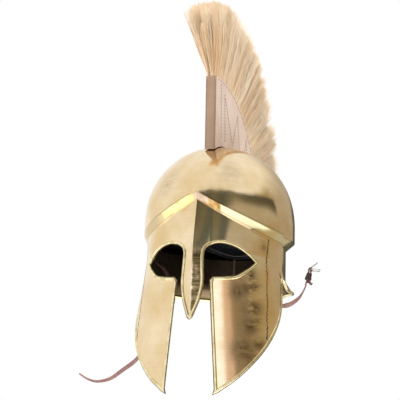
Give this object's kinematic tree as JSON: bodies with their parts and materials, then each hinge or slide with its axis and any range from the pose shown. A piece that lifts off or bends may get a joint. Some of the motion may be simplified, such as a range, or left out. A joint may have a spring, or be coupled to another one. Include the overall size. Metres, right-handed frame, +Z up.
{
  "type": "corinthian helmet",
  "caption": "Brass helmet with full cheek guards, nasal and brow ledge, a tall bristle crest in a leather holder, a leather liner and two free chin strap halves",
  "frame": {"origin": "The seat: where the liner's inside rests on the top of the wearer's head", "axes": "+Z up out of the top of the head, -Y the way the face looks, +X the wearer's left"},
  "size_m": [0.3091, 0.3581, 0.5142],
  "materials": {
    "brass": "polished brass with cloudy tarnish",
    "liner_leather": "dark blue-grey leather",
    "strap_leather": "matt mauve-brown leather",
    "dark_leather": "matt near-black leather",
    "tan_leather": "matt tan leather",
    "pale_leather": "matt natural leather, stitched",
    "bristle": "straw-coloured bristles in locks",
    "steel_wire": "bright drawn wire"
  },
  "bodies": {
    "root": {"helmet_shell": "brass", "liner": "liner_leather", "liner_tie": "strap_leather", "crest_front_strip": "tan_leather", "crest_panel_left": "pale_leather", "crest_panel_right": "pale_leather", "plume": "bristle", "crest_post_front": "steel_wire", "crest_post_rear": "steel_wire", "chin_strap_right": "strap_leather", "chin_strap_left": "strap_leather", "strap_keeper": "dark_leather"},
    "frame": {"buckle_frame": "steel_wire"},
    "tongue": {"buckle_tongue": "steel_wire"}
  },
  "joints": [
    {"name": "buckle_frame_swing", "type": "hinge", "parent": "root", "child": "frame", "pos_m": [0.12, 0.0225, -0.1589], "axis": [0.315, -0.9416, 0.1192], "range_deg": [-40, 100]},
    {"name": "buckle_tongue_swing", "type": "hinge", "parent": "frame", "child": "tongue", "pos_m": [0.12, 0.0225, -0.1589], "axis": [0.315, -0.9416, 0.1192], "range_deg": [-42, 45]}
  ]
}
